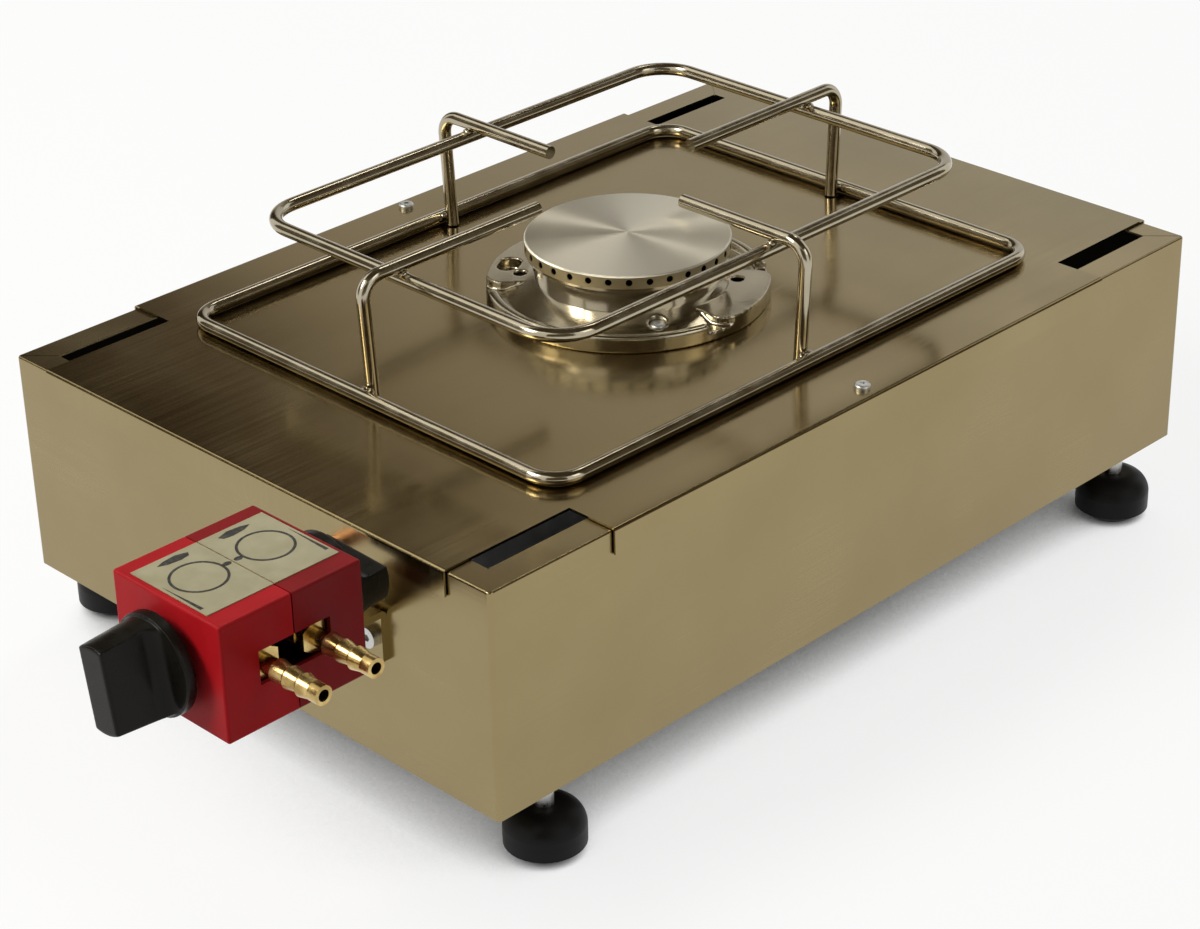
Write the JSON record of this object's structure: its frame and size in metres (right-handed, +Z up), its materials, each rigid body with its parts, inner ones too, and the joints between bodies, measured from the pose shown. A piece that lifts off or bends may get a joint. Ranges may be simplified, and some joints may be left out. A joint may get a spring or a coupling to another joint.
{
  "type": "stock pot range",
  "caption": "Low gas range with a stainless casing on rubber feet, a cast burner with a ported cap, a lift-off wire pan support, and gas taps with hose barbs.",
  "frame": {"origin": "on the floor, under the middle of the object's outer box", "axes": "+Z up; the red tap block stands off the front wall, which faces -Y; the hose barbs point to +X"},
  "size_m": [0.3176, 0.5822, 0.1955],
  "materials": {
    "stainless_sheet": "satin",
    "bright_wire": "bright drawn wire",
    "cast_aluminium": "cast, lightly polished",
    "polished_aluminium": "polished",
    "spun_aluminium": "spun satin",
    "brass": "turned",
    "copper_pipe": "drawn copper",
    "red_shell": "semi-gloss",
    "legend_plate": "matte",
    "black_knob": "gloss",
    "black_rubber": "moulded",
    "zinc_steel": "zinc plated"
  },
  "bodies": {
    "root": {"casing": "stainless_sheet", "lid": "stainless_sheet", "lid_screws": "zinc_steel", "lid_nuts": "zinc_steel", "burner_base": "cast_aluminium", "burner_collar": "polished_aluminium", "mixing_tube": "cast_aluminium", "injector_holder": "cast_aluminium", "injector_jet": "brass", "burner_screws": "zinc_steel", "gas_pipe": "copper_pipe", "pipe_nuts": "brass", "pipe_grommet": "black_rubber", "outlet_elbow": "brass", "tap_manifold": "brass", "tap_bracket": "zinc_steel", "bracket_screws": "zinc_steel", "bracket_nuts": "zinc_steel", "block_bolts": "zinc_steel", "foot_nuts": "zinc_steel", "front_tap_cover": "red_shell", "front_legend_plate": "legend_plate", "front_tap_body": "brass", "front_hose_barb": "brass", "rear_tap_cover": "red_shell", "rear_legend_plate": "legend_plate", "rear_tap_body": "brass", "rear_hose_barb": "brass"},
    "pan_support": {"support_lower_loop": "bright_wire", "support_upper_loop": "bright_wire", "support_finger_right": "bright_wire", "support_finger_rear": "bright_wire", "support_finger_left": "bright_wire", "support_finger_front": "bright_wire"},
    "burner_cap": {"burner_cap": "spun_aluminium"},
    "front_plug": {"front_tap_plug": "brass"},
    "front_knob": {"front_spindle": "zinc_steel", "front_knob": "black_knob"},
    "rear_plug": {"rear_tap_plug": "brass"},
    "rear_knob": {"rear_spindle": "zinc_steel", "rear_knob": "black_knob"},
    "front_left_foot": {"front_left_foot_pad": "black_rubber", "front_left_foot_stud": "zinc_steel"},
    "front_right_foot": {"front_right_foot_pad": "black_rubber", "front_right_foot_stud": "zinc_steel"},
    "rear_left_foot": {"rear_left_foot_pad": "black_rubber", "rear_left_foot_stud": "zinc_steel"},
    "rear_right_foot": {"rear_right_foot_pad": "black_rubber", "rear_right_foot_stud": "zinc_steel"}
  },
  "joints": [
    {"name": "support_lift", "type": "slide", "parent": "root", "child": "pan_support", "axis": [0, 0, 1], "range_m": [0, 0.08]},
    {"name": "cap_lift", "type": "slide", "parent": "root", "child": "burner_cap", "axis": [0, 0, 1], "range_m": [0, 0.02]},
    {"name": "front_tap_turn", "type": "hinge", "parent": "root", "child": "front_plug", "pos_m": [0.0891, -0.25465, 0.1297], "axis": [0, -1, 0], "range_deg": [0, 210]},
    {"name": "front_knob_push", "type": "slide", "parent": "front_plug", "child": "front_knob", "axis": [0, 1, 0], "range_m": [0, 0.003], "stiffness_N_per_m": 800, "springref_m": -0.004},
    {"name": "rear_tap_turn", "type": "hinge", "parent": "root", "child": "rear_plug", "pos_m": [0.0891, -0.19465, 0.1297], "axis": [0, 1, 0], "range_deg": [0, 210]},
    {"name": "rear_knob_push", "type": "slide", "parent": "rear_plug", "child": "rear_knob", "axis": [0, -1, 0], "range_m": [0, 0.003], "stiffness_N_per_m": 800, "springref_m": -0.004},
    {"name": "front_left_foot_turn", "type": "hinge", "parent": "root", "child": "front_left_foot", "pos_m": [-0.1415, -0.1227, 0], "axis": [0, 0, 1], "continuous": true},
    {"name": "front_right_foot_turn", "type": "hinge", "parent": "root", "child": "front_right_foot", "pos_m": [0.1415, -0.1227, 0], "axis": [0, 0, 1], "continuous": true},
    {"name": "rear_left_foot_turn", "type": "hinge", "parent": "root", "child": "rear_left_foot", "pos_m": [-0.1415, 0.2573, 0], "axis": [0, 0, 1], "continuous": true},
    {"name": "rear_right_foot_turn", "type": "hinge", "parent": "root", "child": "rear_right_foot", "pos_m": [0.1415, 0.2573, 0], "axis": [0, 0, 1], "continuous": true}
  ]
}
